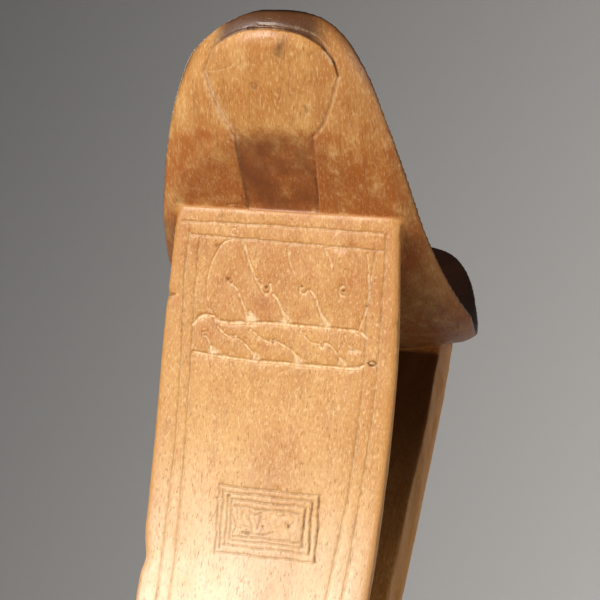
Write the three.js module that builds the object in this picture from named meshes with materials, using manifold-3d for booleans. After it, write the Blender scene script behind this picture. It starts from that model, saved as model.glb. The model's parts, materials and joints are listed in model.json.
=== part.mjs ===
// A carved wooden headrest, cut from one block of wood, so it is one solid.
//
// A thin crescent carries the neck. Its two ends rise as rounded tongues, and its middle is its
// lowest and widest part, where the two edges meet the level of the ears. Two flat legs carry the
// crescent. They lean together to a waist, spread again and join in one low foot.
//
// Millimetres, +Z up, X across the neck rest, Y along it. The origin lies under the middle of
// the foot, on the surface that the headrest stands on. The front leg is the one at -Y.

import * as THREE from 'three';
import { ParametricGeometry } from 'three/addons/geometries/ParametricGeometry.js';
import { mergeVertices } from 'three/addons/utils/BufferGeometryUtils.js';
import Module from 'manifold-3d';

// ---------------------------------------------------------------- driving dimensions

const LEDGE = 142;                // height of the ledge at the top of each leg's panel

const REST = {
  halfLength: 81.2,               // middle to the edge of a tongue's tip, along Y
  halfWidth: 41.7,                // middle to an ear, along X
  ears: LEDGE - 7.4,              // height of the edge at the ears
  tips: LEDGE + 40.8,             // height of the edge at the tongues' tips
  rise: 2.42,                     // how late the crescent turns up: 2 would be a parabola
  planLength: 1.21,               // how blunt the plan is along Y, and then along X
  planWidth: 3.61,
  edgeThickness: 1.9,             // wood at the edge of the outer face, below the flat sheet
  middleThickness: 6.9,           // wood along the middle line, below the flat sheet
  crown: 1.4,                     // how far the hollow side stands above the sheet, along the middle
  bevel: 4.6,                     // from the edge in to where the outer face starts
  lip: 0.7,                       // rounding of the edge on the hollow side
};

const LEG = {
  thickness: 10,
  shift: 0.45,                    // the legs stand a touch off the rest's middle line
  rearScale: 0.91,               // the rear leg is narrower than the front one
  innerTaper: 1.9,                // how much each inner face is narrower, on each side
  easing: 0.9,                    // worn corners down each outer edge
};

// Heights, and half the depth over the legs' outer faces there.
const LEG_DEPTH = [
  [0, 38.5], [4, 38.5], [12, 34.2], [24, 27.6], [42, 24.4],
  [67, 26.1], [92, 31.0], [117, 38.2], [LEDGE, 46.8],
];

// Heights, and half the width of the front leg's outer face there.
const LEG_WIDTH = [[0, 31.5], [20, 30.3], [42, 30.1], [67, 30.9], [92, 31.6], [117, 31.4], [LEDGE, 30]];

const FOOT = {
  height: 14,                     // wood under the middle of the gap between the legs
  round: 15,                      // how far up the gap's rounded lower end reaches
  easing: 1.2,                    // worn lower edge
};

const NECK = {                    // the sunk neck of the keyhole on each tongue's outer face
  depth: 2.0,
  bottomHalfWidth: 9.3,
  topHalfWidth: 11.4,
  top: LEDGE + 18.5,
  offset: 1.2,                    // it stands this far to the side of the middle line
};

const SHOULDER = { back: 0.9, rise: 14, out: 22.2 };  // the flank is cut back above each ledge

// Wear has taken the front tongue's corner at -X down to this line of [x, height] points.
const WORN_CORNER = [[-40, LEDGE + 21.3], [-12.4, LEDGE + 36.9], [-2.9, LEDGE + 40.6]];

const WOOD = { color: 0xb9793f, roughness: 0.42, metalness: 0 };

// ---------------------------------------------------------------- curves

// A smooth curve through [place, value] stops.
function through(stops) {
  const slope = (i) => {
    const before = stops[Math.max(i - 1, 0)];
    const after = stops[Math.min(i + 1, stops.length - 1)];
    return (after[1] - before[1]) / (after[0] - before[0]);
  };
  return (place) => {
    let i = 0;
    while (i < stops.length - 2 && place > stops[i + 1][0]) i += 1;
    const [from, low] = stops[i];
    const [to, high] = stops[i + 1];
    const t = (place - from) / (to - from);
    const span = to - from;
    const ease = t * t * (3 - 2 * t);
    const lead = t * (1 - t) * (1 - t) * span * slope(i);
    const trail = t * t * (t - 1) * span * slope(i + 1);
    return low + (high - low) * ease + lead + trail;
  };
}

const legHalfDepth = through(LEG_DEPTH);
const legHalfWidth = through(LEG_WIDTH);

// The hollow side of the crescent is a sheet that only rises along Y.
const sheetHeight = (y) => REST.ears + (REST.tips - REST.ears) * Math.abs(y / REST.halfLength) ** REST.rise;
const sheetSlope = (y) => {
  const steepest = (REST.tips - REST.ears) * REST.rise / REST.halfLength;
  return Math.sign(y) * steepest * Math.abs(y / REST.halfLength) ** (REST.rise - 1);
};

function restHalfWidth(y) {
  const share = Math.min(Math.abs(y) / REST.halfLength, 1);
  return REST.halfWidth * (1 - share ** REST.planLength) ** (1 / REST.planWidth);
}

// The rest's outline in plan, once round, anticlockwise from the ear at +X.
class RestOutline extends THREE.Curve {
  getPoint(t, target = new THREE.Vector3()) {
    const turn = t * 2 * Math.PI;
    const y = REST.halfLength * Math.sin(turn);
    const side = Math.cos(turn) < 0 ? -1 : 1;
    return target.set(side * restHalfWidth(y), y, 0);
  }
}

// ---------------------------------------------------------------- solids

const wasm = await Module();
wasm.setup();

function solidOf(geometry) {
  geometry.deleteAttribute('normal');
  geometry.deleteAttribute('uv');
  const merged = mergeVertices(geometry, 1e-4);
  const corners = merged.index.array;
  const kept = [];
  for (let i = 0; i < corners.length; i += 3) {
    const [a, b, c] = [corners[i], corners[i + 1], corners[i + 2]];
    if (a !== b && b !== c && c !== a) kept.push(a, b, c);
  }
  return new wasm.Manifold(new wasm.Mesh({
    numProp: 3,
    vertProperties: Float32Array.from(merged.attributes.position.array),
    triVerts: Uint32Array.from(kept),
  }));
}

// A closed skin over a stack of rings, each a list of points that runs the same way round. The
// stack is closed at both ends by a point in the middle of its end ring.
function skin(rings) {
  const middle = (ring) => {
    const sum = ring.reduce((total, point) => total.add(point), new THREE.Vector3());
    return sum.divideScalar(ring.length);
  };
  const cap = (ring) => ring.map(() => middle(ring));
  const stack = [cap(rings[0]), ...rings, cap(rings.at(-1))];
  const around = rings[0].length;
  const place = (u, v, target) => {
    const ring = stack[Math.round(v * (stack.length - 1))];
    target.copy(ring[Math.round(u * around) % around]);
  };
  return solidOf(new ParametricGeometry(place, around, stack.length - 1));
}

// A side outline of [y, z] points, drawn out along X right across the headrest.
function acrossX(outline) {
  const reach = REST.halfWidth + 10;
  const shape = new THREE.Shape(outline.map(([y, z]) => new THREE.Vector2(y, z)));
  const geometry = new THREE.ExtrudeGeometry(shape, { depth: 2 * reach, bevelEnabled: false });
  geometry.applyMatrix4(new THREE.Matrix4().makeBasis(
    new THREE.Vector3(0, 1, 0), new THREE.Vector3(0, 0, 1), new THREE.Vector3(1, 0, 0),
  ));
  geometry.translate(-reach, 0, 0);
  return solidOf(geometry);
}

// A front outline of [x, z] points, drawn out along Y from `from` to `to`.
function alongY(outline, from, to) {
  const shape = new THREE.Shape(outline.map(([x, z]) => new THREE.Vector2(x, z)));
  const geometry = new THREE.ExtrudeGeometry(shape, { depth: to - from, bevelEnabled: false });
  geometry.rotateX(Math.PI / 2);
  geometry.translate(0, to, 0);
  return solidOf(geometry);
}

// The crescent. `sunk` moves its outer face in, and `raised` moves its hollow side up.
function crescent(sunk = 0, raised = 0) {
  const around = 104;
  const outline = new RestOutline().getSpacedPoints(around).slice(0, around);

  // 1 along the middle line and 0 at the edge.
  const middleness = (x, y) => {
    const share = Math.min(Math.abs(x) / Math.max(restHalfWidth(y), 1e-3), 1);
    return 1 - share ** 2;
  };
  const outerDepth = (x, y) => {
    const swell = REST.middleThickness - REST.edgeThickness;
    return REST.edgeThickness + swell * middleness(x, y) - sunk;
  };
  const hollowDepth = (x, y) => -REST.crown * middleness(x, y) - raised;
  // The outline drawn in by `inset`, at `depth` below the sheet and square to it.
  const ring = (scale, inset, depth) => outline.map((edge) => {
    const keep = scale * (1 - inset / edge.length());
    const [x, y] = [edge.x * keep, edge.y * keep];
    const slope = sheetSlope(y);
    const upright = 1 / Math.hypot(1, slope);
    const down = depth(x, y) * upright;
    return new THREE.Vector3(x, y + slope * down, sheetHeight(y) - down);
  });
  const part = (share) => (x, y) => share * outerDepth(x, y);

  const scales = [0.08, 0.2, 0.32, 0.44, 0.56, 0.67, 0.78, 0.89, 1];
  const outerFace = scales.map((scale) => ring(scale, REST.bevel, part(1)));
  const bevel = [
    ring(1, 0.45 * REST.bevel, part(0.74)),
    ring(1, 0.14 * REST.bevel, part(0.42)),
    ring(1, 0, part(0.14)),
  ];
  const hollowSide = [...scales].reverse().map((scale) => ring(scale, REST.lip, hollowDepth));
  return skin([...outerFace, ...bevel, ...hollowSide]);
}

// Both legs and the foot as one block, before the gap between the legs is cut.
function legBlock() {
  const heights = [0, FOOT.easing, 4, 8, 12, 17, 22, 28, 35, 42, 50, 58, 67, 76, 84, 92, 100, 108, 117, 125, 133.5, LEDGE];
  const rings = heights.map((z) => {
    const worn = z === 0 ? FOOT.easing : 0;
    const depth = legHalfDepth(z) - worn;
    const inner = depth - LEG.thickness;
    const front = legHalfWidth(z) - worn;
    const rear = legHalfWidth(z) * LEG.rearScale - worn;
    const half = [
      [front - LEG.easing, -depth], [front, LEG.easing - depth], [front - LEG.innerTaper, -inner],
      [rear - LEG.innerTaper, inner], [rear, depth - LEG.easing], [rear - LEG.easing, depth],
    ];
    const other = half.map(([x, y]) => [-x, y]).reverse();
    return [...half, ...other].map(([x, y]) => new THREE.Vector3(x + LEG.shift, y, z));
  });
  return skin(rings);
}

// The gap between the legs: an hourglass with a rounded lower end, open at the top.
function legGap() {
  const start = FOOT.height + FOOT.round;
  const innerHalfDepth = (z) => legHalfDepth(Math.min(z, LEDGE)) - LEG.thickness;
  const side = [];
  for (let i = 0; i <= 8; i += 1) {
    const turn = i / 8 * Math.PI / 2;
    side.push([innerHalfDepth(start) * Math.sin(turn), start - FOOT.round * Math.cos(turn)]);
  }
  const steps = 14;
  for (let i = 1; i <= steps; i += 1) {
    const z = start + (LEDGE + 2 - start) * i / steps;
    side.push([innerHalfDepth(z), z]);
  }
  const mirrored = side.slice(1).map(([y, z]) => [-y, z]).reverse();
  return acrossX([...side, ...mirrored]);
}

// What lies above the hollow side, lowered a little into the wood of the crescent.
function neckHollow() {
  const sunk = 2;
  const top = REST.tips + 20;
  const steps = 24;
  const outline = [];
  for (let i = 0; i <= steps; i += 1) {
    const y = REST.halfLength * (2 * i / steps - 1);
    outline.push([y, sheetHeight(y) - sunk]);
  }
  return acrossX([...outline, [REST.halfLength, top], [-REST.halfLength, top]]);
}

// What is cut from the crescent so that a leg's panel stands proud of it. `end` is -1 or 1.
function shoulderCut(end) {
  const face = legHalfDepth(LEDGE) - SHOULDER.back;
  const [farOut, high, low] = [face + SHOULDER.out, LEDGE + SHOULDER.rise, LEDGE - 9];
  const outline = [
    [face, LEDGE], [farOut, high], [farOut + 5, high], [farOut + 5, low],
    [legHalfDepth(low) - SHOULDER.back, low],
  ];
  const cut = outline.map(([y, z]) => [end * y, z]);
  return acrossX(end > 0 ? cut.reverse() : cut);
}

// The sunk neck of a keyhole, following the tongue's outer face.
function neckCut(end) {
  const x = NECK.offset;
  const low = LEDGE - 3;
  const outline = [
    [x - NECK.bottomHalfWidth, low], [x + NECK.bottomHalfWidth, low],
    [x + NECK.topHalfWidth, NECK.top], [x - NECK.topHalfWidth, NECK.top],
  ];
  const near = 30;
  const reach = REST.halfLength + 15;
  const column = end < 0 ? alongY(outline, -reach, -near) : alongY(outline, near, reach);
  return column.subtract(crescent(NECK.depth, 4));
}

// What wear has taken from the front tongue.
function wornCorner() {
  const above = REST.tips + 10;
  const [first, last] = [WORN_CORNER[0], WORN_CORNER.at(-1)];
  const outline = [...WORN_CORNER, [last[0], above], [first[0], above]];
  return alongY(outline, -REST.halfLength - 15, -REST.halfLength + 25);
}

// ---------------------------------------------------------------- the headrest

function headrest() {
  let rest = crescent();
  for (const end of [-1, 1]) {
    rest = rest.subtract(shoulderCut(end)).subtract(neckCut(end));
  }
  rest = rest.subtract(wornCorner());
  const stand = legBlock().subtract(legGap()).subtract(neckHollow());
  return rest.add(stand);
}

function meshOf(solid, name, look) {
  const { vertProperties, triVerts } = solid.getMesh();
  const geometry = new THREE.BufferGeometry();
  geometry.setAttribute('position', new THREE.BufferAttribute(Float32Array.from(vertProperties), 3));
  geometry.setIndex(new THREE.BufferAttribute(Uint32Array.from(triVerts), 1));
  geometry.computeVertexNormals();
  const mesh = new THREE.Mesh(geometry, new THREE.MeshStandardMaterial(look));
  mesh.name = name;
  return mesh;
}

const part = new THREE.Group();
part.add(meshOf(headrest(), 'headrest', WOOD));

export default part;
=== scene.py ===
"""A carved wooden headrest with a worn, hand-cut surface, in a plain studio.

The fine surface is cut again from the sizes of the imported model, rounded by wear, carved, and
finished in old oiled wood. Carving sizes are in millimetres, and objects are in metres.
"""

import json
import math

import bmesh
import bpy
import numpy as np
from bpy.props import FloatProperty, FloatVectorProperty, IntProperty, PointerProperty
from mathutils import Matrix, Vector, noise

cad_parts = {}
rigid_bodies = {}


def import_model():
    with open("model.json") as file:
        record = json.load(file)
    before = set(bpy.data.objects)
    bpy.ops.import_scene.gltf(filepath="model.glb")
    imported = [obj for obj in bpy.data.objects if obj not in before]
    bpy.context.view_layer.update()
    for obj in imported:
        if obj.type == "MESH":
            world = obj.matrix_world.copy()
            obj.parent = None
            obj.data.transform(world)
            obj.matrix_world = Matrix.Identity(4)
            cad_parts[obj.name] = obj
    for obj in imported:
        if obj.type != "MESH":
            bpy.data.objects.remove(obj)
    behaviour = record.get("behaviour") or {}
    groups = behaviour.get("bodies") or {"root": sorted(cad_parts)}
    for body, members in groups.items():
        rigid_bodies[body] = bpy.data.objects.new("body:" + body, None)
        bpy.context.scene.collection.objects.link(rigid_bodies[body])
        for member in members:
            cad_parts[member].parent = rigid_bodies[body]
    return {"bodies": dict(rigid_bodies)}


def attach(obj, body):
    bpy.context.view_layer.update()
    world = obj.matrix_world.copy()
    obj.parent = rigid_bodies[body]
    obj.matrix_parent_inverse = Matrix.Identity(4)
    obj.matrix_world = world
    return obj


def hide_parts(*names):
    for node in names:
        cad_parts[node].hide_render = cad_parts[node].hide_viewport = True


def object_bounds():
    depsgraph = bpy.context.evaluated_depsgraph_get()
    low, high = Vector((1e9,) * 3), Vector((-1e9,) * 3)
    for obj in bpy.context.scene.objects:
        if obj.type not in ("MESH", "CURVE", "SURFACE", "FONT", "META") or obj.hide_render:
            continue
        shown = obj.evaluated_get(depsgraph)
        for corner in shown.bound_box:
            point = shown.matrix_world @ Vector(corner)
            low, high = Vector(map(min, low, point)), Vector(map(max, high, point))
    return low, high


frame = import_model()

bl_info = {
    "name": "Carved Headrest",
    "version": (1, 0, 0),
    "blender": (4, 5, 0),
    "location": "3D View > Sidebar > Headrest",
    "description": "Builds a worn, carved wooden headrest and a plain studio around it",
    "category": "Add Mesh",
}

CAD_LOW, CAD_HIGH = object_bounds()
BODY = next(iter(frame["bodies"]))
NODE = "headrest"
MM = 0.001

# ---- sizes of the blank, in mm

LEDGE = 142.0  # height of the ledge at the top of each leg's panel
PANEL_TOP = LEDGE + 1.2  # where wear has left the break above the panel

REST_HALF_LENGTH = 81.2  # middle to the edge of a tongue's tip
REST_HALF_WIDTH = CAD_HIGH.x / MM  # middle to an ear
REST_EARS = LEDGE - 7.4  # height of the edge at the ears
REST_TIPS = LEDGE + 40.8  # height of the edge at the tongues' tips
REST_RISE = 2.42  # how late the crescent turns up
REST_PLAN_LENGTH = 1.21  # how blunt the plan is along Y
REST_PLAN_WIDTH = 3.61  # and along X
REST_EDGE = 1.9  # wood at the edge of the outer face
REST_MIDDLE = 6.9  # wood along the middle line
REST_CROWN = 1.4  # how far the hollow side stands up along the middle
REST_BEVEL = 4.6  # from the edge in to where the outer face starts
REST_LIP = 0.7  # rounding of the edge on the hollow side
REST_AROUND = 380  # points round its outline
REST_RINGS = 44  # rings from its middle to its edge

LEG_THICKNESS = 10.0
LEG_SHIFT = 0.45  # how far both legs stand towards +X
LEG_REAR_SCALE = 0.91  # the rear leg's width against the front's
LEG_INNER_TAPER = 1.9  # how much narrower each side of the inner face is
LEG_EASING = 0.9  # easing of the outer edges
LEG_DEPTH = [  # height, and the middle to the outer face
    (0, 38.5), (4, 38.5), (12, 34.2), (24, 27.6), (42, 24.4),
    (67, 26.1), (92, 31.0), (117, 38.2), (LEDGE, 46.8),
]
LEG_WIDTH = [  # height, and half the front leg's width
    (0, 31.5), (20, 30.3), (42, 30.1), (67, 30.9), (92, 31.6), (117, 31.4), (LEDGE, 30),
]

FOOT_HEIGHT = 14.0  # floor to the lower end of the gap
FOOT_ROUND = 15.0  # height of the gap's rounded end
FOOT_EASING = 1.2  # easing of the edge on the floor

NECK_DEPTH = 0.9  # the sunk neck of each keyhole, at the ledge
NECK_TOP_DEPTH = 0.4  # and where it meets the disc
NECK_LEFT = (-9.9, -9.8)  # its sides, at the ledge and at the disc
NECK_RIGHT = (8.8, 11.2)
NECK_HEIGHT = LEDGE + 15.0

SHOULDER_BACK = 0.9  # how far the crescent is cut back behind a panel's face
SHOULDER_RISE = 14.0  # how far above the ledge that cut ends
SHOULDER_OUT = 22.2  # and how far outwards

STROKE_STEP = 0.8  # length of the steps along a carved stroke
CUT_BAND = 0.2  # how far past a cut the mesh is made finer
OFF_FACE = 1e3  # distance given to places that no stroke is near

RUB_FACTOR = 0.5  # how far one rub moves a point towards its neighbours
SHOULDER_RUBS = 160  # how many times the tongues' shoulders are rubbed down
TOOL_MARK = 0.22  # the long soft unevenness of the whole surface
SMALL_MARK = 0.07  # the finer unevenness on it
ADZE_MARK = 0.45  # the rough cuts between the legs
ADZE_TOP = LEDGE - 10  # height where they end

# What wear has taken from the front tongue lies above this line of (x, height) points.
WORN_CORNER = [(-40, LEDGE + 21.3), (-12.4, LEDGE + 36.9), (-2.9, LEDGE + 40.6)]

# ---- the studio, in metres

STAGE_HALF = 1.5  # half the width of the floor and the backdrop
WALL_PLACE = 1.1  # how far behind the headrest the backdrop stands
WALL_TOP = 1.8
WALL_PAINTED_LIGHT = (1.3, 0, -0.5)  # painted light: the way across the backdrop that it is painted lighter, and how fast
BACK_SPREAD = 75  # degrees
CAMERA_TURN = (18.079, -16.575, 9.685)  # degrees round from the front, upwards, and of roll
CAMERA_PLACE = (0.12859, -0.41661, 0.0048)
CAMERA_LENS = 97.93  # mm
CAMERA_SENSOR = 36  # mm

# ---- curves and small maths


def through(stops):
    """A smooth curve through (place, value) stops, as a function of an array of places."""
    places = np.array([stop[0] for stop in stops], float)
    values = np.array([stop[1] for stop in stops], float)
    before = np.maximum(np.arange(len(stops)) - 1, 0)
    after = np.minimum(np.arange(len(stops)) + 1, len(stops) - 1)
    slopes = (values[after] - values[before]) / (places[after] - places[before])

    def curve(place):
        place = np.asarray(place, float)
        i = np.clip(np.searchsorted(places, place, side="right") - 1, 0, len(stops) - 2)
        span = places[i + 1] - places[i]
        t = (place - places[i]) / span
        ease = t * t * (3 - 2 * t)
        lead = t * (1 - t) ** 2 * span * slopes[i]
        trail = t * t * (t - 1) * span * slopes[i + 1]
        return values[i] + (values[i + 1] - values[i]) * ease + lead + trail

    return curve


leg_half_depth = through(LEG_DEPTH)
leg_half_width = through(LEG_WIDTH)


def smoothstep(low, high, value):
    t = np.clip((value - low) / (high - low), 0, 1)
    return t * t * (3 - 2 * t)


def sheet_height(y):
    return REST_EARS + (REST_TIPS - REST_EARS) * np.abs(y / REST_HALF_LENGTH) ** REST_RISE


def sheet_slope(y):
    steepest = (REST_TIPS - REST_EARS) * REST_RISE / REST_HALF_LENGTH
    return np.sign(y) * steepest * np.abs(y / REST_HALF_LENGTH) ** (REST_RISE - 1)


def rest_half_width(y):
    share = np.clip(np.abs(y) / REST_HALF_LENGTH, 0, 1)
    return REST_HALF_WIDTH * (1 - share ** REST_PLAN_LENGTH) ** (1 / REST_PLAN_WIDTH)


def rest_outline(around):
    """The crescent's outline in plan, in even steps."""
    turn = np.linspace(0, 2 * math.pi, 6001)
    y = REST_HALF_LENGTH * np.sin(turn)
    x = np.where(np.cos(turn) < 0, -1, 1) * rest_half_width(y)
    run = np.concatenate([[0], np.cumsum(np.hypot(np.diff(x), np.diff(y)))])
    even = np.linspace(0, run[-1], around, endpoint=False)
    return np.interp(even, run, x), np.interp(even, run, y)


# ---- solids


def placed(name, data):
    """A new object in the scene."""
    thing = bpy.data.objects.new(name, data)
    bpy.context.scene.collection.objects.link(thing)
    return thing


def solid(name, points, faces):
    """A closed mesh object from points in millimetres."""
    mesh = bpy.data.meshes.new(name)
    mesh.from_pydata((np.asarray(points, float) * MM).tolist(), [], faces)
    mesh.validate()
    return placed(name, mesh)


def skin(name, rings):
    """A closed skin over a stack of rings that all run the same way round."""
    around = len(rings[0])
    points = np.concatenate([[rings[0].mean(0)], *rings, [rings[-1].mean(0)]])
    sides = [(i, (i + 1) % around) for i in range(around)]
    last = 1 + (len(rings) - 1) * around
    faces = []
    for low in range(1, last, around):
        faces += [(low + i, low + j, low + around + j, low + around + i) for i, j in sides]
    for i, j in sides:
        faces += [(0, 1 + j, 1 + i), (len(points) - 1, last + i, last + j)]
    return solid(name, points, faces)


def prism(name, outline, place_near, place_far):
    """A closed prism between two copies of an outline, each placed by a function."""
    near = np.array([place_near(*point) for point in outline])
    far = np.array([place_far(*point) for point in outline])
    count = len(outline)
    faces = [tuple(range(count))[::-1], tuple(range(count, 2 * count))]
    for i in range(count):
        j = (i + 1) % count
        faces.append((i, j, count + j, count + i))
    thing = solid(name, np.concatenate([near, far]), faces)
    work = bmesh.new()
    work.from_mesh(thing.data)
    bmesh.ops.triangulate(work, faces=work.faces[:])
    bmesh.ops.recalc_face_normals(work, faces=work.faces[:])
    work.to_mesh(thing.data)
    work.free()
    return thing


def across_x(name, outline):
    """A side outline of (y, z) points drawn out right across the headrest."""
    reach = REST_HALF_WIDTH + 10
    return prism(name, outline, lambda y, z: (-reach, y, z), lambda y, z: (reach, y, z))


def along_y(name, outline, start, end):
    """A front outline of (x, z) points drawn out along Y."""
    return prism(name, outline, lambda x, z: (x, start, z), lambda x, z: (x, end, z))


def applied(thing):
    """Makes a thing's modifiers part of its mesh."""
    bpy.context.view_layer.update()
    graph = bpy.context.evaluated_depsgraph_get()
    mesh = bpy.data.meshes.new_from_object(thing.evaluated_get(graph))
    old = thing.data
    thing.modifiers.clear()
    thing.data = mesh
    bpy.data.meshes.remove(old)
    return thing


def combined(kept, tool, how):
    """Joins `tool` to `kept`, or cuts it away, and removes the tool."""
    modifier = kept.modifiers.new(how.title(), "BOOLEAN")
    modifier.operation = how
    modifier.solver = "MANIFOLD"
    modifier.object = tool
    before = len(kept.data.vertices)
    applied(kept)
    if not kept.data.vertices or before == 0:
        raise RuntimeError(f"{how} with {tool.name} left nothing of {kept.name}")
    mesh = tool.data
    bpy.data.objects.remove(tool)
    bpy.data.meshes.remove(mesh)
    return kept


def crescent(name):
    """The crescent, from the middle of its outer face round the edge to its hollow side."""
    edge_x, edge_y = rest_outline(REST_AROUND)
    reach = np.hypot(edge_x, edge_y)

    def middleness(x, y):
        share = np.clip(np.abs(x) / np.maximum(rest_half_width(y), 1e-3), 0, 1)
        return 1 - share ** 2

    def outer(share):
        swell = REST_MIDDLE - REST_EDGE
        return lambda x, y: share * (REST_EDGE + swell * middleness(x, y))

    def hollow(x, y):
        return -REST_CROWN * middleness(x, y)

    def ring(scale, inset, depth):
        keep = scale * (1 - inset / reach)
        x, y = edge_x * keep, edge_y * keep
        slope = sheet_slope(y)
        down = depth(x, y) / np.hypot(1, slope)
        return np.stack([x, y + slope * down, sheet_height(y) - down], 1)

    scales = np.linspace(0.03, 1, REST_RINGS)
    outer_face = [ring(scale, REST_BEVEL, outer(1)) for scale in scales]
    bevel = [
        ring(1, inset * REST_BEVEL, outer(share))
        for inset, share in ((0.72, 0.9), (0.45, 0.74), (0.27, 0.58), (0.14, 0.42), (0.05, 0.28), (0, 0.14))
    ]
    hollow_side = [ring(scale, REST_LIP, hollow) for scale in scales[::-1]]
    return skin(name, [*outer_face, *bevel, *hollow_side])


def leg_block():
    """Both legs and the foot as one block, before the gap between the legs is cut."""
    heights = np.concatenate([[0, FOOT_EASING], np.arange(2.5, LEDGE, 1.5), [LEDGE, PANEL_TOP]])
    rings = []
    for z in heights:
        worn = FOOT_EASING if z == 0 else 0
        depth = leg_half_depth(z) - worn
        inner = depth - LEG_THICKNESS
        front = leg_half_width(z) - worn
        rear = leg_half_width(z) * LEG_REAR_SCALE - worn
        half = [
            (front - LEG_EASING, -depth), (front, LEG_EASING - depth),
            (front - LEG_INNER_TAPER, -inner), (rear - LEG_INNER_TAPER, inner),
            (rear, depth - LEG_EASING), (rear - LEG_EASING, depth),
        ]
        section = half + [(-x, y) for x, y in half[::-1]]
        rings.append(np.array([(x + LEG_SHIFT, y, z) for x, y in section]))
    return skin("legs", rings)


def leg_gap():
    """The gap between the legs: an hourglass with a rounded lower end, open at the top."""
    start = FOOT_HEIGHT + FOOT_ROUND

    def inner_half_depth(z):
        return float(leg_half_depth(min(z, LEDGE))) - LEG_THICKNESS

    side = []
    for turn in np.linspace(0, math.pi / 2, 14):
        side.append((inner_half_depth(start) * math.sin(turn), start - FOOT_ROUND * math.cos(turn)))
    for z in np.linspace(start, LEDGE + 2, 60)[1:]:
        side.append((inner_half_depth(z), z))
    return across_x("leg_gap", side + [(-y, z) for y, z in side[:0:-1]])


def neck_hollow():
    """What lies above the hollow side, lowered a little into the crescent's wood."""
    sunk = 2
    top = REST_TIPS + 20
    ys = np.linspace(-REST_HALF_LENGTH, REST_HALF_LENGTH, 60)
    outline = [(y, float(sheet_height(y)) - sunk) for y in ys]
    return across_x("neck_hollow", outline + [(REST_HALF_LENGTH, top), (-REST_HALF_LENGTH, top)])


def shoulder_cut(end):
    """What is cut from the crescent so that a leg's panel stands proud of it."""
    face = float(leg_half_depth(LEDGE)) - SHOULDER_BACK
    far_out, high, low = face + SHOULDER_OUT, LEDGE + SHOULDER_RISE, LEDGE - 9
    outline = [
        (face, PANEL_TOP), (far_out, high), (far_out + 5, high), (far_out + 5, low),
        (float(leg_half_depth(low)) - SHOULDER_BACK, low),
    ]
    return across_x("shoulder_cut", [(end * y, z) for y, z in outline])


def worn_corner():
    """What wear has taken from the front tongue."""
    above = REST_TIPS + 10
    outline = [*WORN_CORNER, (WORN_CORNER[-1][0], above), (WORN_CORNER[0][0], above)]
    return along_y("worn_corner", outline, -REST_HALF_LENGTH - 15, -REST_HALF_LENGTH + 25)


def blank():
    """The headrest before it is worn and carved."""
    rest = crescent("rest")
    for end in (-1, 1):
        combined(rest, shoulder_cut(end), "DIFFERENCE")
    combined(rest, worn_corner(), "DIFFERENCE")
    stand = leg_block()
    combined(stand, leg_gap(), "DIFFERENCE")
    combined(stand, neck_hollow(), "DIFFERENCE")
    return combined(rest, stand, "UNION")


# ---- carved strokes


class Stroke:
    """A cut along a smooth line of (x, height) points, in mm.

    `width` is half the cut's width, as one number or as a start and an end. `dust` is how pale the
    cut has filled, and `dark` how dark it is.
    """

    def __init__(self, points, width=0.42, depth=0.34, dust=0.8, dark=0.0, smooth=True, waver=0.0):
        self.width = width if isinstance(width, tuple) else (width, width)
        self.depth, self.dust, self.dark, self.waver = depth, dust, dark, waver
        points = np.array(points, float)
        run = np.concatenate([[0], np.cumsum(np.hypot(*np.diff(points, axis=0).T))])
        steps = max(2, int(run[-1] / STROKE_STEP))
        even = np.linspace(0, run[-1], steps + 1)
        if smooth and len(points) > 2:
            x = through(list(zip(run, points[:, 0])))(even)
            z = through(list(zip(run, points[:, 1])))(even)
        else:
            x, z = np.interp(even, run, points[:, 0]), np.interp(even, run, points[:, 1])
        self.line = np.stack([x, z], 1)
        self.length = run[-1]

    def boxed(self, x, z, margin):
        """Which places lie in the box round the line, with a margin."""
        low, high = self.line.min(0) - margin, self.line.max(0) + margin
        return (x > low[0]) & (x < high[0]) & (z > low[1]) & (z < high[1])

    def reach(self, x, z):
        """Distance from each place to the line, and how far along it the nearest point is."""
        start, step = self.line[:-1], np.diff(self.line, axis=0)
        size = (step ** 2).sum(1) + 1e-12
        best = np.full(len(x), 1e9)
        along = np.zeros(len(x))
        for i in range(len(start)):
            dx, dz = x - start[i, 0], z - start[i, 1]
            t = np.clip((dx * step[i, 0] + dz * step[i, 1]) / size[i], 0, 1)
            far = np.hypot(dx - t * step[i, 0], dz - t * step[i, 1])
            nearer = far < best
            best[nearer] = far[nearer]
            along[nearer] = (i + t[nearer]) / len(start)
        return best, along


def arc(x, z, radius, start, end, squash=1.0, **cut):
    """A stroke round part of a circle, with angles in degrees from +X towards up."""
    turns = np.radians(np.linspace(start, end, 9))
    points = [(x + radius * math.cos(t), z + squash * radius * math.sin(t)) for t in turns]
    return Stroke(points, smooth=False, **cut)


def pit(x, z, radius=0.5, depth=0.4, dust=0.0, dark=0.9):
    """A small round pit."""
    return Stroke([(x - 0.05, z), (x + 0.05, z)], width=radius, depth=depth, dust=dust, dark=dark)


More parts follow.
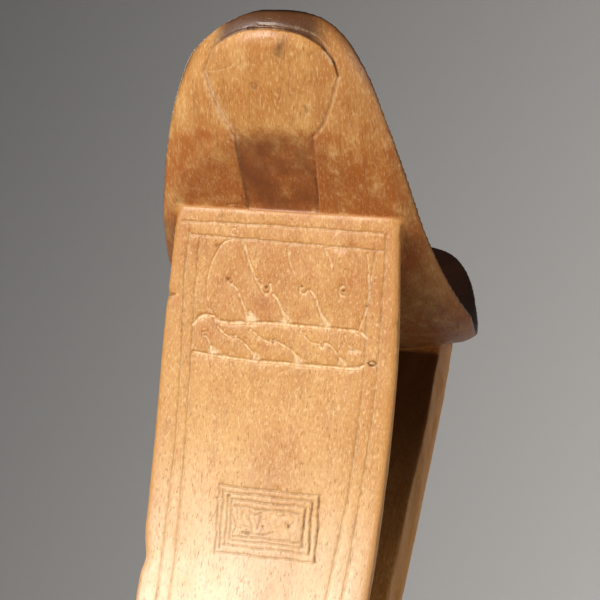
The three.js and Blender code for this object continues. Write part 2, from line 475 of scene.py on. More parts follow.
def border():
    """The double line round a panel."""
    thin = dict(width=0.42, depth=0.22, dust=0.45, dark=0.22)
    left_outer = [(-25.3, 137.2), (-25.9, 126.4), (-25.3, 109.4), (-24.7, 88), (-24.3, 62), (-23.7, 40)]
    left_inner = [(-22.4, 136.3), (-22.8, 124.2), (-22.3, 98.4), (-21.7, 80), (-20.9, 62.5), (-20.2, 40)]
    right_inner = [(24.5, 135.3), (23.6, 123.5), (23.8, 102.4), (22.7, 77), (21.4, 63.4), (19.4, 40)]
    right_outer = [(27.1, 139.5), (27.3, 121.8), (27.2, 100), (25.9, 77.4), (24.9, 60), (23.6, 40)]
    lines = [left_outer, left_inner, right_inner, right_outer]
    top = [[(-27.5, 139.8), (0, 140), (25.8, 139.7)], [(-25.1, 136.7), (0, 136.2), (26.4, 135.6)]]
    foot_end = 22
    strokes = [Stroke(line, **thin) for line in top]
    for line in lines:
        last = line[-1]
        strokes.append(Stroke([*line, (last[0] * 0.98, foot_end)], **thin))
    strokes.append(Stroke([(-23.2, foot_end), (23.2, foot_end)], **thin))
    strokes.append(Stroke([(-20, foot_end + 3), (20, foot_end + 3)], **thin))
    return strokes


def fillet(x, z, lean=0.5, width=2.3, rise=2.8):
    """The small triangle where a stroke runs into the line below it."""
    return Stroke([(x - lean, z + rise), (x, z + 0.75)], width=(0.2, width), depth=0.26, dust=0.95)


def great_row():
    """The tall row of running scrolls under the panel's top."""
    line = dict(width=0.5, depth=0.36, dust=0.9)
    fine = dict(width=0.36, depth=0.26, dust=0.75)
    strokes = [
        Stroke([(-12.5, 136.3), (-16.1, 135), (-18.9, 130), (-19.6, 124.4), (-18.8, 119.4), (-17, 117)],
               **fine),
        Stroke([(-22.9, 114.9), (-20.6, 117.1), (-17.4, 117.2), (-15.6, 115.9), (-8.4, 116.3),
                (3, 116.6), (13.3, 116.4), (21.7, 116.2), (23.6, 114.9)],
               width=0.62, depth=0.42, dust=1),
        Stroke([(22.4, 134.7), (23.3, 128), (23.3, 123), (21.7, 116.6)], **fine),
        Stroke([(-13.2, 125.4), (-11.7, 124.4), (-9.4, 119.9), (-7.5, 115.9)], **line),
        Stroke([(-10.3, 135.4), (-8.9, 131.6), (-7.4, 128.3), (-5.2, 125)], **line),
        Stroke([(-1.9, 123.6), (-0.4, 122.3), (0.9, 120), (2.1, 117)], **line),
        Stroke([(1.6, 134.7), (2.2, 131.6), (3.3, 129.5)], **fine),
        Stroke([(8.0, 125.2), (9.2, 124.2), (10.9, 120.8), (12.7, 116.9)], **line),
        Stroke([(11.6, 135.3), (12.6, 133.4), (13.2, 131.8)], **fine),
        arc(-3.6, 125.0, 1.35, 150, 400, squash=1.15, width=0.5, depth=0.34, dust=0.95),
        arc(6.3, 125.3, 1.1, 170, 350, width=0.42, depth=0.3, dust=0.9),
        arc(-13.4, 125.9, 0.75, 190, 350, width=0.36, depth=0.26, dust=0.8),
        arc(16.7, 125.6, 0.95, 90, 300, squash=1.3, width=0.4, depth=0.28, dust=0.85),
        pit(-14.1, 126.5, 0.5), pit(-3.5, 125.2, 0.5), pit(6.0, 126.0, 0.34), pit(16.8, 125.7, 0.4),
        pit(-17.6, 134.2, 0.8, 0.2, dark=0.5),
    ]
    for x in (-7.1, 2.2, 12.6):
        strokes.append(fillet(x, 116.5))
    for x, z in ((-10.6, 135.9), (1.9, 135.6), (11.4, 135.7)):
        strokes.append(Stroke([(x + 0.4, z - 2), (x, z)], width=(0.2, 0.9), depth=0.24, dust=0.8))
    return strokes


def small_row():
    """The low row of running scrolls below the great one."""
    line = dict(width=0.46, depth=0.34, dust=0.9)
    strokes = [
        Stroke([(-22.4, 108.1), (-14, 107.4), (-4.6, 107.1), (5, 107.2), (12.8, 107.2), (21.6, 107.5),
                (23.6, 108.4)], width=0.6, depth=0.42, dust=1),
        Stroke([(-19.2, 112.2), (-18.2, 111.3), (-17.2, 108.4)], **line),
        Stroke([(-17.1, 116.5), (-15.4, 114), (-12.7, 112.4)], **line),
        Stroke([(-10.4, 112.1), (-8.3, 111), (-6.3, 109), (-5.1, 107.3)], **line),
        Stroke([(-7.1, 114.6), (-4.4, 112.9), (-1.9, 112)], **line),
        Stroke([(0.1, 112.2), (2.3, 111.3), (4.9, 109.9), (6.1, 107.7)], **line),
        Stroke([(6.7, 115), (8.8, 113), (11.4, 112.4)], width=0.3, depth=0.2, dust=0.7),
        Stroke([(12.9, 112.9), (14.2, 112.5), (16.3, 110.6), (17.7, 108.2)], **line),
        Stroke([(18.1, 115.2), (18.8, 113), (20.3, 111.9)], width=0.3, depth=0.2, dust=0.6),
        Stroke([(19.6, 111.5), (22.2, 111.6)], width=0.7, depth=0.22, dust=0.7),
        arc(-11.6, 112.5, 0.75, 160, 380, width=0.4, depth=0.3, dust=0.95),
        arc(-0.9, 112.2, 0.8, 160, 380, width=0.42, depth=0.3, dust=0.95),
        arc(12.2, 112.3, 0.8, 160, 380, width=0.42, depth=0.3, dust=0.95),
        arc(6.8, 115.2, 0.7, 120, 330, width=0.3, depth=0.2, dust=0.7),
        arc(-19.6, 112.6, 0.6, 60, 300, width=0.32, depth=0.24, dust=0.85),
        pit(-19.3, 112.7, 0.3), pit(-11.6, 112.9, 0.22), pit(-0.9, 112.6, 0.22), pit(12.2, 112.5, 0.26),
        pit(20.4, 111.8, 0.3),
    ]
    for x, z in ((-17, 107.9), (-5.2, 107.2), (6.2, 107.3), (17.8, 107.4)):
        strokes.append(fillet(x, z, lean=0.6, width=2.1, rise=2.3))
    return strokes


def nested_boxes():
    """The box of nested frames, with a broken knot of cuts in the middle."""
    corners = np.array([(-11.3, 75.7), (15.4, 75.7), (16.2, 59.4), (-10.3, 59.1)])
    sides = (
        ((0, 1.6, 3.2, 4.9), dict(width=0.36, depth=0.24, dust=0.4, dark=0.36)),
        ((0.1, 1.9, 3.7), dict(width=0.34, depth=0.5, dust=0.1, dark=0.75)),
        ((0, 1.9, 3.3, 4.4), dict(width=0.32, depth=0.22, dust=0.35, dark=0.34)),
        ((0, 1.1, 2.5, 3.6), dict(width=0.34, depth=0.24, dust=0.35, dark=0.4)),
    )
    strokes = []
    for start, end, (insets, cut) in zip(corners, np.roll(corners, -1, axis=0), sides):
        along = (end - start) / np.hypot(*(end - start))
        inward = np.array([along[1], -along[0]])
        for inset in insets:
            first = start + inward * inset + along * inset * 0.95
            last = end + inward * inset - along * inset * 0.95
            strokes.append(Stroke([first, last], smooth=False, waver=0.05, **cut))
    knot = dict(width=0.36, depth=0.2, dust=0.3, dark=0.3)
    thin = dict(width=0.28, depth=0.13, dust=0.3, dark=0.2)
    pale = dict(width=0.75, depth=0.22, dust=0.7)
    strokes += [
        Stroke([(2.6, 70.2), (5.4, 69.4), (7.4, 69.8)], width=0.6, depth=0.12, dust=0.5),
        Stroke([(3, 68.9), (4.2, 66.6)], width=0.6, depth=0.12, dust=0.45),
        Stroke([(5.8, 66.6), (7.2, 65)], width=0.7, depth=0.12, dust=0.5),
        Stroke([(-6.9, 68.4), (-5.6, 66.2), (-6.1, 64)], width=0.4, depth=0.14, dust=0.3, dark=0.25),
        Stroke([(-7.4, 66.1), (-4.6, 65.4)], width=0.5, depth=0.14, dust=0.5),
        Stroke([(-2.4, 70.2), (-1.6, 69.3), (-0.6, 69.2), (0.6, 70)], **knot),
        Stroke([(-3.4, 70.5), (-5.2, 70.6), (-5.8, 69.3), (-5, 67.6)], **thin),
        Stroke([(-3.9, 70), (-4.1, 68.4), (-3.3, 67.3)], **pale),
        Stroke([(-2, 68.9), (-1.2, 67.2), (-0.8, 65.6)], **pale),
        Stroke([(0.7, 69.7), (0.6, 67.6), (0.1, 65.8)], **knot),
        Stroke([(-3.8, 66.5), (-2.3, 65.9), (-1.6, 65)], **thin),
        Stroke([(-1.8, 64.6), (0.4, 64.4), (2.3, 64.7), (4.3, 65.6)], **knot),
        Stroke([(4.5, 65.4), (5.9, 63.8), (9.2, 63.9), (9.3, 64.9), (8.1, 67)], smooth=False, **thin),
        Stroke([(8.2, 67.6), (8.2, 67.2)], width=0.4, depth=0.4, dust=0, dark=0.9),
        Stroke([(8.6, 70.6), (9.6, 69.6), (9.5, 68.6), (8.6, 67.9)], **thin),
        Stroke([(-3.9, 64.7), (-1.9, 64.5)], width=(0.25, 0.7), depth=0.3, dust=0.1, dark=0.5),
        arc(1.6, 67.9, 0.6, 30, 330, width=0.3, depth=0.2, dust=0.6),
        pit(1.5, 66.8, 0.32, 0.4, dark=0.6), pit(-8.6, 73.3, 0.5, 0.4),
        pit(-11.4, 72.4, 0.4, 0.3, dark=0.6),
    ]
    return strokes


def keyhole():
    """The lines of the keyhole on a tongue's outer face."""
    left_side = [(-16.9, 168), (-15.2, 163.4), (-13.8, 161), (-11.2, 157.5), (-9.7, 155.4)]
    return [
        Stroke([(-15.9, 165.6), (-17, 167.8), (-16, 170.2), (-14, 173.2), (-8.4, 175.9), (-4.4, 176.5)],
               width=0.36, depth=0.3, dust=0.3, dark=0.15),
        Stroke([(-5, 176.5), (2, 176.5), (8.6, 175.9), (13.3, 174)], width=0.4, depth=0.4, dust=0,
               dark=0.6),
        Stroke([(13.3, 174), (16, 171.4), (17.3, 168.2)], width=0.36, depth=0.6, dust=0, dark=1),
        Stroke([(17.3, 168.2), (16.4, 164.8), (14.9, 161.1), (13, 158), (10.9, 156)], width=0.6,
               depth=0.2, dust=0.3, dark=0.12),
        Stroke(left_side, width=1.5, depth=0.26, dust=0.4),
        Stroke(left_side, width=0.3, depth=0.2, dust=0.1, dark=0.35),
        Stroke([(-2.3, 177.7), (5.7, 177.3), (11.6, 176.2), (14.8, 173.8)], width=0.36, depth=0.16,
               dust=0.25),
        Stroke([(-9.5, 155.5), (-9.8, 152.7), (-9.9, 148.3), (-9.9, 144)], width=0.36, depth=0.14,
               dust=0.35, dark=0.1),
        Stroke([(11.2, 156), (10.7, 152.4), (9.7, 147.2), (8.8, 143.6)], width=0.36, depth=0.14,
               dust=0.3, dark=0.3),
        Stroke([(-7, 174.2), (-2, 174.9), (2, 175), (7, 174.4), (12, 172.4)], width=2.4,
               depth=-0.13, dust=0),
    ]


def accidents():
    """Cracks, scratches and marks that use has left on the front leg and tongue."""
    return [
        Stroke([(-10.8, 145.9), (-10.2, 144.8), (-9.9, 144.1)], width=0.26, depth=0.3, dust=0, dark=1),
        Stroke([(-15.5, 144.3), (-12, 144.6), (-9.9, 144.2)], width=0.2, depth=0.15, dust=0.1, dark=0.45),
        Stroke([(9.6, 149), (9.4, 147.2), (9.2, 145.6)], width=0.24, depth=0.25, dust=0, dark=0.9),
        Stroke([(-16, 168.2), (-10, 168.4), (-6.2, 170.4)], width=0.2, depth=0.05, dust=0.35),
        Stroke([(14.2, 172.9), (15.2, 171.9), (15.5, 170.9)], width=0.7, depth=0.05, dust=0.85),
        arc(25.7, 108.9, 1.1, 0, 360, squash=0.55, width=0.26, depth=0.3, dust=0, dark=1),
        arc(-13.2, 138.1, 0.9, 20, 300, width=0.3, depth=0.12, dust=0.5),
        arc(-3.4, 164.8, 0.75, 0, 360, squash=0.8, width=0.4, depth=0.1, dust=0, dark=0.5),
        Stroke([(-31, 121.6), (-28.4, 121.9)], width=(0.7, 0.25), depth=0.5, dust=0, dark=0.7),
        Stroke([(24, 119.5), (28.2, 117)], width=0.28, depth=0.08, dust=0.4),
        Stroke([(9.6, 160.3), (9.2, 161.4)], width=0.6, depth=0.2, dust=0.4, dark=0.35),
        pit(23.2, 122.4, 0.5, 0.35),
    ]


# ---- the surface


def neck_recess(x, z):
    """How deep the keyhole's neck is sunk at each place, in mm."""
    share = (z - LEDGE) / (NECK_HEIGHT - LEDGE)
    left = NECK_LEFT[0] + (NECK_LEFT[1] - NECK_LEFT[0]) * share
    right = NECK_RIGHT[0] + (NECK_RIGHT[1] - NECK_RIGHT[0]) * share
    across = 1 - smoothstep(-0.25, 0.35, np.abs(x - (left + right) / 2) - (right - left) / 2)
    upward = 1 - smoothstep(NECK_HEIGHT - 3, NECK_HEIGHT + 0.6, z)
    above_ledge = smoothstep(PANEL_TOP, PANEL_TOP + 1.8, z)
    depth = NECK_DEPTH + (NECK_TOP_DEPTH - NECK_DEPTH) * np.clip(share, 0, 1)
    return depth * across * upward * above_ledge


class Carving:
    """All strokes on one leg and its tongue. `end` is -1 at the front and 1 at the rear."""

    def __init__(self, end, strokes):
        self.end = end
        self.strokes = strokes

    def on_face(self, points, normals):
        """1 where a place lies on the outer face of this leg or tongue."""
        return smoothstep(0.25, 0.6, self.end * normals[:, 1]) * (self.end * points[:, 1] > 15)

    def apart(self, points, normals):
        """The least distance of each place to a stroke's edge, for the mesh to be fine there."""
        least = np.full(len(points), OFF_FACE)
        faces = self.on_face(points, normals) > 0.05
        x, z = points[:, 0] * -self.end, points[:, 2]
        for stroke in self.strokes:
            near = faces & stroke.boxed(x, z, 3)
            if near.any():
                far, _ = stroke.reach(x[near], z[near])
                least[near] = np.minimum(least[near], far - max(stroke.width))
        return least

    def cut(self, points, normals):
        """How deep each place is cut, in mm, and how dusty and how dark it is."""
        cuts, raised, dust, dark = np.zeros((4, len(points)))
        face = self.on_face(points, normals)
        x, z = points[:, 0] * -self.end, points[:, 2]
        for number, stroke in enumerate(self.strokes):
            near = (face > 0) & stroke.boxed(x, z, 4)
            if not near.any():
                continue
            px, pz = x[near], z[near]
            shake = 0.06 + stroke.waver
            px, pz = (
                px + shake * (np.sin(pz * 0.53 + number * 2.1) + 0.5 * np.sin(pz * 1.3 + number)),
                pz + shake * (np.sin(px * 0.47 + number * 1.3) + 0.5 * np.sin(px * 1.1 + number)),
            )
            far, along = stroke.reach(px, pz)
            uneven = 1 + 0.22 * np.sin(along * 17 + number * 1.7) * np.sin(along * 41 + number)
            width = (stroke.width[0] + (stroke.width[1] - stroke.width[0]) * along) * uneven
            core = 1 - smoothstep(0.2, 1.1, far / width)
            run = along * stroke.length
            patch = 0.5 + 0.5 * np.sin(run * 0.55 + number) * np.sin(run * 1.3)
            shape = stroke.depth * (core + 0.2 * np.exp(-(far / 1.5) ** 2)) * face[near]
            if stroke.depth < 0:
                raised[near] = np.minimum(raised[near], shape)
            else:
                cuts[near] = np.maximum(cuts[near], shape)
            dust[near] = np.maximum(dust[near], stroke.dust * core * (0.6 + 0.4 * patch) * face[near])
            dark[near] = np.maximum(dark[near], stroke.dark * core * (1.15 - 0.75 * patch) * face[near])
        return cuts + raised + neck_recess(x, z) * face, dust, dark


def arrays(mesh):
    """A mesh's points in mm and its normals."""
    count = len(mesh.vertices)
    points, normals = np.zeros(count * 3), np.zeros(count * 3)
    mesh.vertices.foreach_get("co", points)
    mesh.vertex_normals.foreach_get("vector", normals)
    return points.reshape(-1, 3) / MM, normals.reshape(-1, 3)


def settled(thing, points):
    """Moves a thing's points to new places given in mm."""
    thing.data.vertices.foreach_set("co", (points * MM).ravel())
    thing.data.update()


def weighted(thing, name, weights):
    """Stores weights from 0 to 1 as a vertex group, in steps of a tenth."""
    group = thing.vertex_groups.new(name=name)
    steps = np.round(np.clip(weights, 0, 1) * 10).astype(int)
    for step in range(1, 11):
        members = np.flatnonzero(steps == step)
        if len(members):
            group.add(members.tolist(), step / 10, "REPLACE")
    return group


def rubbed(thing, name, times, group=""):
    """Adds wear to a thing, or to one group of its points."""
    rub = thing.modifiers.new(name, "SMOOTH")
    rub.vertex_group = group
    rub.factor = RUB_FACTOR
    rub.iterations = times


def worn(thing, voxel, passes):
    """Rounds every edge as long use does, on an even mesh, and the tongues' shoulders further."""
    remesh = thing.modifiers.new("Even mesh", "REMESH")
    remesh.mode = "VOXEL"
    remesh.voxel_size = voxel
    rubbed(thing, "Wear", passes)
    applied(thing)
    points, normals = arrays(thing.data)
    above_ledge = smoothstep(PANEL_TOP + 1.2, PANEL_TOP + 3.2, points[:, 2])
    below_disc = 1 - smoothstep(LEDGE + 24, LEDGE + 32, points[:, 2])
    faces_out = smoothstep(0.1, 0.4, -normals[:, 2])
    weighted(thing, "shoulders", above_ledge * below_disc * faces_out)
    rubbed(thing, "Shoulder wear", SHOULDER_RUBS, "shoulders")
    applied(thing)
    thing.vertex_groups.clear()


def thinned(thing, most, carvings):
    """Brings a mesh under a number of triangles, away from its cuts."""
    triangles = sum(len(face.vertices) - 2 for face in thing.data.polygons)
    if triangles <= most:
        return
    points, normals = arrays(thing.data)
    weighted(thing, "free", smoothstep(0.0, 0.5, nearest_cut(points, normals, carvings)))
    decimate = thing.modifiers.new("Thin", "DECIMATE")
    decimate.ratio = most / triangles
    decimate.vertex_group = "free"
    decimate.vertex_group_factor = 1.0
    applied(thing)
    thing.vertex_groups.clear()


def nearest_cut(points, normals, carvings):
    """The least distance of each place to any stroke's edge."""
    least = np.full(len(points), OFF_FACE)
    for carving in carvings:
        least = np.minimum(least, carving.apart(points, normals))
    return least


def refined(thing, carvings, band):
    """Splits the faces that lie within a band of the cuts."""
    points, normals = arrays(thing.data)
    close = nearest_cut(points, normals, carvings) < band
    work = bmesh.new()
    work.from_mesh(thing.data)
    work.verts.ensure_lookup_table()
    edges = [e for e in work.edges if close[e.verts[0].index] or close[e.verts[1].index]]
    bmesh.ops.subdivide_edges(work, edges=edges, cuts=1, use_grid_fill=True)
    bmesh.ops.triangulate(work, faces=[f for f in work.faces if len(f.verts) > 4])
    work.to_mesh(thing.data)
    work.free()


def dents(points):
    """Chips in the front leg's edges and its ledge's worn corners, in mm inwards."""
    places = (
        ((-30.2, -25.2, 55.5), 2.6, 1.5), ((-30.4, -25.6, 59.5), 2.2, 0.5),
        ((-31.2, -39.5, 121.5), 1.2, 0.7), ((31.8, -38.6, 118.5), 1.6, 0.35),
        ((29.6, -47.5, 142.6), 1.6, 0.5), ((-29.8, -47.5, 142.8), 2.0, 0.4),
    )
    depth = np.zeros(len(points))
    for middle, radius, deep in places:
        far = np.linalg.norm(points - np.array(middle), axis=1)
        depth += deep * np.exp(-(far / radius) ** 2)
    return depth


def hand_marks(points):
    """The unevenness of handwork, in mm outwards: long soft tool marks, and rougher cuts inside."""
    marks = np.zeros(len(points))
    face = leg_half_depth(np.clip(points[:, 2], 0, LEDGE))
    inner = (np.abs(points[:, 1]) < face - 4) & (points[:, 2] < ADZE_TOP)
    for i, (x, y, z) in enumerate(points.tolist()):
        slow = noise.noise(Vector((x * 0.07, y * 0.07, z * 0.035)))
        quick = noise.noise(Vector((x * 0.24 + 9, y * 0.24, z * 0.09)))
        marks[i] = TOOL_MARK * slow + SMALL_MARK * quick
        if inner[i]:
            adze = noise.noise(Vector((x * 0.16, y * 0.16 + 40, z * 0.11)))
            marks[i] -= ADZE_MARK * abs(adze)
    return marks * smoothstep(0.2, 4, points[:, 2])


def write_attribute(mesh, name, values):
    attribute = mesh.attributes.new(name, "FLOAT", "POINT")
    attribute.data.foreach_set("value", np.asarray(values, np.float32))


def stains_and_top_shade(points):
    """Where the front panel has darkened between its scrolls, and painted shade growing towards the panel's
    top, from 0 to 1.
    """
    patches = ((-4.5, 120.5, 4.5, 0.9), (-8.5, 130, 3.5, 0.6), (-19, 113, 3.5, 0.5), (5, 118.5, 3, 0.35))
    x, y, z = points.T
    stain = np.zeros(len(points))
    for px, pz, radius, strength in patches:
        stain += strength * np.exp(-((x - px) ** 2 + (z - pz) ** 2) / radius ** 2)
    # painted shade: darker towards the panel's top
    return np.maximum(stain, 0.45 * smoothstep(98, 138, z)) * (y < 0)


def wood_zones(mesh, carvings):
    """Stores what the finish needs at each point: the grain's run, dust and dirt, handling patina, and
    where shade and sheen are painted.
    """
    points, normals = arrays(mesh)
    x, y, z = points.T
    dust, dark = np.zeros((2, len(points)))
    for carving in carvings:
        _, carving_dust, carving_dark = carving.cut(points, normals)
        dust, dark = np.maximum(dust, carving_dust), np.maximum(dark, carving_dark)
    write_attribute(mesh, "dust", dust)
    write_attribute(mesh, "dirt", dark)

    low = np.clip(z, 0, LEDGE)
    to_face = leg_half_depth(low) - np.abs(y)
    upright = 1 / np.hypot(1, sheet_slope(y))
    under = (sheet_height(y) - z) * upright
    on_panel = (np.abs(to_face) < 1.5) & (z < PANEL_TOP + 0.3)
    on_rest = (under < REST_MIDDLE + 0.7) & (z > REST_EARS - 12) & ~on_panel
    steps = np.linspace(0, REST_HALF_LENGTH * 1.05, 200)
    run = np.concatenate([[0], np.cumsum(np.hypot(1, sheet_slope(steps[1:])) * np.diff(steps))])
    along = np.interp(np.abs(y), steps, run) * np.sign(y)
    place = np.where(on_rest[:, None], np.stack([x, under, along], 1), points)
    attribute = mesh.attributes.new("grain_place", "FLOAT_VECTOR", "POINT")
    attribute.data.foreach_set("vector", (place * MM).astype(np.float32).ravel())

    from_tip = np.clip(REST_HALF_LENGTH - np.abs(y), 0, None)
    tip = smoothstep(-0.4, 0.5, z - 176.6 + 0.0165 * x ** 2) * (1 - smoothstep(10, 17, np.abs(x)))
    near_tip = 1 - smoothstep(4, 16, from_tip)
    # the hollow side: dark patina from oiled hair, and painted shade as well, since it lies in shadow
    hollow = smoothstep(0.2, 0.6, normals[:, 2]) * (1 - smoothstep(1, 3, under))
    rim = np.maximum(tip, 1 - smoothstep(0.1, 1.1 + 1.6 * near_tip, under))
    smear = np.exp(-((x - 3.4 - 0.4 * (z - 172)) / 1.1) ** 2 - ((z - 172) / 2.1) ** 2) * (y < 0)
    write_attribute(mesh, "rim", np.maximum(rim, 0.7 * smear) * on_rest)
    write_attribute(mesh, "hollow", hollow * on_rest)
    # painted shade: the darker russet tone is laid on more where faces turn downwards; less of it on the
    # keyhole's disc
    faces_down_shade = smoothstep(0.35, 0.85, -normals[:, 2])
    disc = (z > NECK_HEIGHT) * (np.abs(normals[:, 1]) > 0.3)
    handling_and_shade = on_rest * (0.8 + 0.2 * faces_down_shade - 0.35 * disc)
    write_attribute(mesh, "handling_and_shade", np.maximum(handling_and_shade, stains_and_top_shade(points)))
    # the keyhole's neck: darker wood, and painted shade standing in for the sunk neck's shadow
    neck = np.maximum(*(neck_recess(x * -end, z) * (y * end > 0) for end in (-1, 1))) / NECK_DEPTH
    write_attribute(mesh, "neck", smoothstep(0.1, 0.45, neck) * on_rest)
    # paler low on the legs' outer faces, more to the left: worn dry wood, and painted sheen
    bare_and_sheen = smoothstep(95, 30, z) * smoothstep(-2.5, -1.0, -to_face) * (0.85 - 0.3 * x * np.sign(-y) / 30)
    write_attribute(mesh, "bare_and_sheen", bare_and_sheen * (z > 4))

    width = leg_half_width(low) * np.where(y < 0, 1, LEG_REAR_SCALE)
    edge = 1 - smoothstep(0.2, 3.6, width - np.abs(x - LEG_SHIFT))
    write_attribute(mesh, "edge", np.where(on_rest, 0, edge))
    # painted shade between the legs: darker on the inner faces away from their edges, growing with height
    # towards the crescent, most where faces turn inwards
    inward = smoothstep(-0.1, 0.6, -normals[:, 1] * np.sign(y))
    below_rest = smoothstep(REST_MIDDLE - 0.6, REST_MIDDLE + 0.8, under)
    painted_shade_between_legs = smoothstep(1.5, 7.0, to_face) * (z < LEDGE) * smoothstep(10, 120, z)
    write_attribute(mesh, "painted_shade_between_legs", painted_shade_between_legs * (0.35 + (inward - 0.35) * below_rest))


# ---- finish


class Nodes:
    """Short words for building a node tree."""

    def __init__(self, tree):
        self.tree = tree
        tree.nodes.clear()

    def add(self, kind, inputs=None, **settings):
        node = self.tree.nodes.new(kind)
        for name, value in settings.items():
            setattr(node, name, value)
        for name, value in (inputs or {}).items():
            self.feed(node.inputs[name], value)
        return node

    def feed(self, socket, value):
        if hasattr(value, "is_output"):
            self.tree.links.new(value, socket)
        else:
            socket.default_value = value

    def maths(self, operation, a, b=0.0, third=0.0):
        node = self.add("ShaderNodeMath", {0: a, 1: b, 2: third}, operation=operation)
        return node.outputs[0]

    def ramp(self, value, low, high):
        ends = {"Value": value, "From Min": low, "From Max": high}
        return self.add("ShaderNodeMapRange", ends, interpolation_type="SMOOTHSTEP").outputs["Result"]

    def mix(self, share, a, b):
        node = self.add("ShaderNodeMix", data_type="RGBA")
        self.feed(node.inputs[0], share)
        for socket, value in ((node.inputs[6], a), (node.inputs[7], b)):
            self.feed(socket, (*value, 1) if isinstance(value, tuple) and len(value) == 3 else value)
        return node.outputs[2]

    def surface(self):
        """The shader of a new surface, joined to the output."""
        output = self.add("ShaderNodeOutputMaterial")
        shader = self.add("ShaderNodeBsdfPrincipled")
        self.tree.links.new(shader.outputs[0], output.inputs[0])
        return shader

    def attribute(self, name):
        return self.add("ShaderNodeAttribute", attribute_name=name).outputs["Fac"]

    def grain(self, place, scale, stretch, detail=4.0, rough=0.6, shift=0.0):
        """Noise drawn out along the grain, which runs upwards."""
        mapped = self.add("ShaderNodeMapping", {
            "Vector": place, "Scale": (1, 1, stretch), "Location": (shift, shift * 0.7, shift * 0.3),
        })
        node = self.add("ShaderNodeTexNoise", {"Vector": mapped.outputs[0], "Scale": scale,
                                               "Detail": detail, "Roughness": rough})
        return node.outputs["Fac"]


def colour(value):
    return tuple(value[:3])


def wood_material(look):
    """Old oiled wood: fine upright grain, pores, patina, dust in the cuts, dark worn rim, with painted
    shade and painted sheen laid into the colour.
    """
    material = bpy.data.materials.new("old_wood")
    material.use_nodes = True
    n = Nodes(material.node_tree)
    place = n.add("ShaderNodeAttribute", attribute_name="grain_place").outputs["Vector"]
    shader = n.surface()

    fine = n.grain(place, 2300, 0.28, detail=3)
    streak = n.grain(place, 420, 0.06, detail=5, rough=0.65, shift=3)
    figure = n.grain(place, 60, 0.16, detail=4, shift=7)
    blotch = n.grain(place, 90, 0.8, detail=5, rough=0.6, shift=11)
    cloud = n.grain(place, 34, 0.6, detail=6, rough=0.62, shift=29)
    speck = n.grain(place, 1300, 0.7, detail=2, shift=17)
    pore = n.grain(place, 2300, 0.2, detail=1, shift=23)
    mottle = n.grain(place, 230, 0.7, detail=6, rough=0.7, shift=37)
    patchy = n.maths("ADD", n.maths("MULTIPLY", cloud, 0.5), n.maths("MULTIPLY", mottle, 0.5))
    lining = n.maths("MULTIPLY_ADD", n.ramp(blotch, 0.7, 0.4), 0.1, 0.9)

    zones = ("handling_and_shade", "bare_and_sheen", "edge", "painted_shade_between_legs", "neck", "rim", "hollow", "dust", "dirt")
    handling_and_shade, bare_and_sheen, edge, painted_shade_between_legs, neck, rim, hollow, dust, dirt = map(n.attribute, zones)

    # Each layer is where it lies, how strongly, and its colour, from the lowest up.
    base = n.mix(n.ramp(figure, 0.3, 0.72), colour(look.amber), colour(look.honey))
    for share, strength, tone in (
        (n.ramp(blotch, 0.42, 0.7), 0.55, look.honey),
        # handling patina on the tongues and underside, with painted shade on down-facing faces and at the
        # front panel's top
        (handling_and_shade, n.ramp(patchy, 0.64, 0.42), look.russet),
        (n.ramp(mottle, 0.46, 0.3), 0.4, look.russet),
        (n.ramp(mottle, 0.56, 0.76), 0.3, look.pale),
        (n.ramp(streak, 0.5, 0.72), 0.25, look.umber),
        # pale dry wood low on the legs, and painted sheen
        (bare_and_sheen, n.ramp(cloud, 0.2, 0.7), look.bare_and_sheen),
        (n.ramp(fine, 0.5, 0.72), n.maths("MULTIPLY_ADD", handling_and_shade, -0.25, 0.5), look.pale),
        (n.ramp(fine, 0.48, 0.28), 0.4, look.russet),
        (n.ramp(pore, 0.62, 0.76), 0.5, look.umber),
        (n.ramp(speck, 0.6, 0.78), 0.3, look.pale),
        (edge, 0.6, look.amber),
        # painted shade between the legs
        (painted_shade_between_legs, 0.95, look.shade_between_legs_tone),
        # the neck: dark wood, and painted shade
        (neck, n.ramp(blotch, 0.75, 0.3), look.neck),
        (n.maths("MULTIPLY", rim, n.ramp(blotch, -0.1, 0.4)), 0.92, look.rim),
        # the hollow: dark patina, and painted shade
        (hollow, lining, look.hollow),
        (n.maths("MULTIPLY", dust, n.ramp(speck, 0.3, 0.6)), 0.85, look.dust),
        (dirt, 0.9, look.dirt),
    ):
        base = n.mix(n.maths("MULTIPLY", share, strength), base, colour(tone))
    n.tree.links.new(base, shader.inputs["Base Color"])

    gloss = n.maths("MULTIPLY_ADD", n.ramp(blotch, 0.3, 0.7), 0.12, 0.38)
    gloss = n.maths("ADD", gloss, n.maths("MULTIPLY", dust, 0.25))
    gloss = n.maths("SUBTRACT", gloss, n.maths("MULTIPLY", rim, 0.05))
    n.tree.links.new(gloss, shader.inputs["Roughness"])
    # less reflection where shade is painted, in the hollow and between the legs
    painted_shade_parts = n.maths("MAXIMUM", hollow, painted_shade_between_legs)
    shine = n.maths("MULTIPLY_ADD", painted_shade_parts, -0.36, 0.45)
    n.tree.links.new(shine, shader.inputs["Specular IOR Level"])

    height = n.maths("ADD", n.maths("MULTIPLY", fine, 0.5), n.maths("MULTIPLY", streak, 0.6))
    height = n.maths("SUBTRACT", height, n.maths("MULTIPLY", n.ramp(pore, 0.6, 0.75), 0.6))
    bump = n.add("ShaderNodeBump", {"Height": height, "Strength": 0.5, "Distance": 0.00014})
    n.tree.links.new(bump.outputs[0], shader.inputs["Normal"])
    return material


# ---- what a user can change


